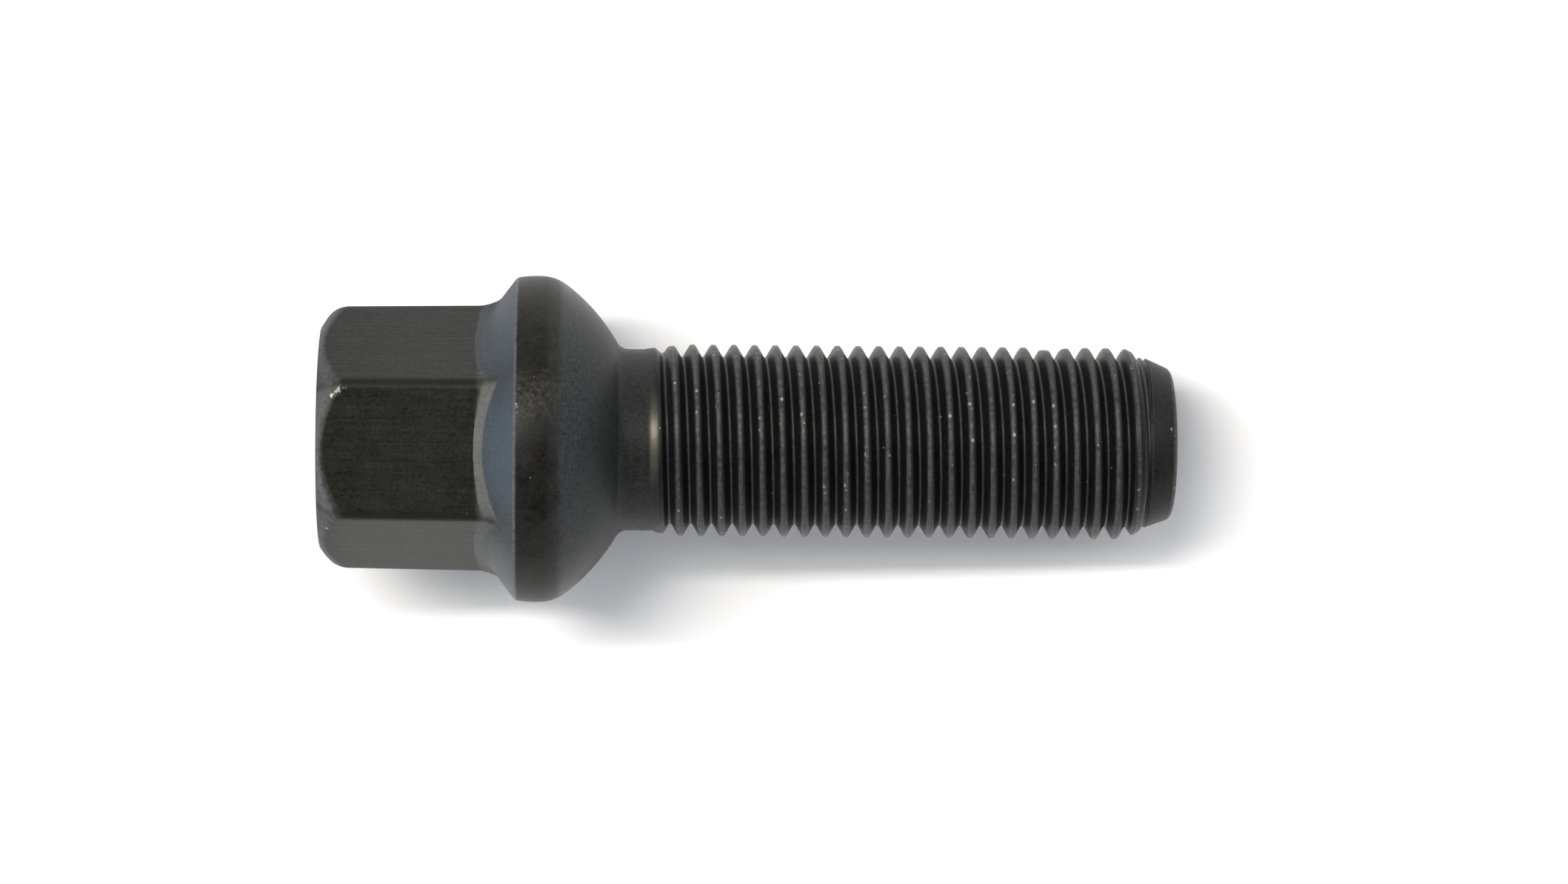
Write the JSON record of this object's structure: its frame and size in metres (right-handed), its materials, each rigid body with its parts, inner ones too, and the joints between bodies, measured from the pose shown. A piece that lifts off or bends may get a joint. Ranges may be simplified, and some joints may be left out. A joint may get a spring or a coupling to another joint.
{
  "type": "wheel bolt",
  "caption": "Black one-piece wheel bolt: hexagon head, round collar, spherical ball seat and a long fine-threaded shank with a tapered point.",
  "frame": {"origin": "centre of the head's end face, on the bolt's axis, where it stands on its head", "axes": "+Z along the bolt's axis from the head to the tip of the shank; two hexagon corners on the X axis, two flats facing along Y"},
  "size_m": [0.0236, 0.0236, 0.0615],
  "materials": {
    "black_steel": "satin black coating on forged steel, rubbed to bare metal on the thread crests"
  },
  "bodies": {
    "root": {"wheel_bolt": "black_steel"}
  },
  "joints": []
}
